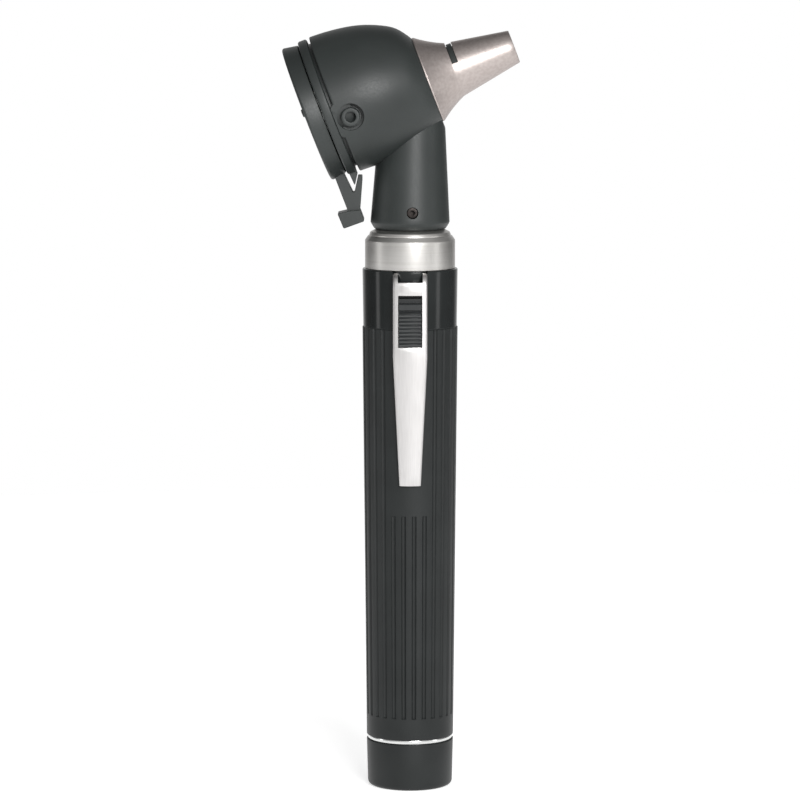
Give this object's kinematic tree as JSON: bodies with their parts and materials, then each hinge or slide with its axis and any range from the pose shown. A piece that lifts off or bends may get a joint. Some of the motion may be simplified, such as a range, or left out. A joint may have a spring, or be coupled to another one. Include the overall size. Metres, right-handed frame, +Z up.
{
  "type": "pocket otoscope",
  "caption": "Pocket otoscope: ribbed battery handle with clip and thumb switch, tilted viewing head with swinging lens, air port and metal speculum cone.",
  "frame": {"origin": "centre of the end cap's flat underside", "axes": "+Z up the handle, +X towards the tip of the speculum cone, -Y towards the pocket clip, the switch and the air port"},
  "size_m": [0.0494, 0.0296, 0.1602],
  "materials": {
    "ribbed_plastic": "satin, moulded, fluted",
    "head_plastic": "fine matt",
    "collar_metal": "satin turned and anodised",
    "clip_metal": "satin plated sheet",
    "cone_metal": "bead blasted",
    "bright_metal": "bright plated",
    "brass_metal": "plain",
    "spring_metal": "drawn wire",
    "cell_jacket": "printed sleeve, plain",
    "insulator": "moulded",
    "slider_plastic": "satin",
    "lens_glass": "polished",
    "lamp_glass": "clear",
    "guide_glass": "bundled fibres",
    "screw_metal": "blackened"
  },
  "bodies": {
    "handle": {"handle_tube": "ribbed_plastic", "tube_insert": "bright_metal", "collar": "collar_metal", "pocket_clip": "clip_metal", "battery_lower": "cell_jacket", "battery_upper": "cell_jacket", "contact_holder": "insulator", "contact_pin": "brass_metal", "contact_strip": "brass_metal"},
    "switch": {"switch_slider": "slider_plastic", "switch_contact": "brass_metal"},
    "spring_unit": {"spring_plate": "spring_metal", "battery_spring": "spring_metal"},
    "cap": {"end_cap": "ribbed_plastic"},
    "head": {"neck": "head_plastic", "neck_insert": "brass_metal", "set_screw": "screw_metal", "lamp_base": "brass_metal", "lamp_tip": "bright_metal", "lamp_bulb": "lamp_glass", "light_guide": "guide_glass", "head_barrel": "head_plastic", "insufflation_nipple": "head_plastic", "rear_ring": "head_plastic", "pivot_pin": "spring_metal", "speculum_carrier": "cone_metal", "sight_tube": "head_plastic"},
    "eyepiece": {"lens_frame": "head_plastic", "lens": "lens_glass", "lens_retainer": "head_plastic"}
  },
  "joints": [
    {"name": "switch_slide", "type": "slide", "parent": "handle", "child": "switch", "axis": [0, 0, 1], "range_m": [0, 0.0015]},
    {"name": "head_turn", "type": "hinge", "parent": "handle", "child": "head", "pos_m": [0, 0, 0.1178], "axis": [0, 0, 1], "range_deg": [0, 40]},
    {"name": "lens_swing", "type": "hinge", "parent": "head", "child": "eyepiece", "pos_m": [-0.02594, 0, 0.15308], "axis": [0.9336, 0, 0.3584], "range_deg": [-90, 90]},
    {"name": "cap_travel", "type": "slide", "parent": "handle", "child": "spring_unit", "axis": [0, 0, -1], "range_m": [0, 0.0055]},
    {"name": "cap_turn", "type": "hinge", "parent": "spring_unit", "child": "cap", "pos_m": [0, 0, 0], "axis": [0, 0, -1], "range_deg": [0, 1801]}
  ],
  "couplings": [
    {"joint": "cap_turn", "follows": "cap_travel", "rad_per_m": 5712}
  ]
}
